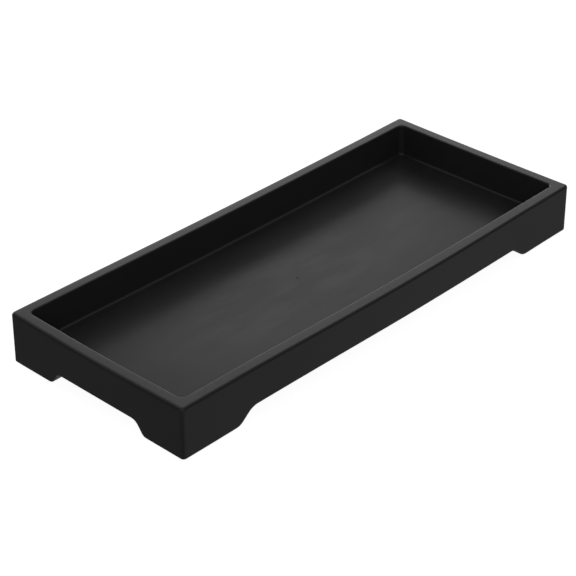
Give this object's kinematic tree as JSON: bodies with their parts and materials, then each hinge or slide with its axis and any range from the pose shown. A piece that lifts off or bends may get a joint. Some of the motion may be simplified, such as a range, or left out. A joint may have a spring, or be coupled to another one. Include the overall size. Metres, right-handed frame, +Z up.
{
  "type": "silicone storage tray",
  "caption": "Low, long rectangular tray moulded in black silicone, with an open well inside a wide rim, on corner feet left by shallow arches along every side.",
  "frame": {"origin": "the middle of the tray's plan, on the surface that the pads rest on", "axes": "+X along the length, +Y across the width to the back, +Z up out of the well"},
  "size_m": [0.3, 0.1238, 0.0299],
  "materials": {
    "tray_silicone": "matt moulded silicone with a soft sheen",
    "pad_silicone": "softer matt silicone"
  },
  "bodies": {
    "root": {"tray": "tray_silicone", "foot_pad_front_left": "pad_silicone", "foot_pad_front_right": "pad_silicone", "foot_pad_back_left": "pad_silicone", "foot_pad_back_right": "pad_silicone"}
  },
  "joints": []
}
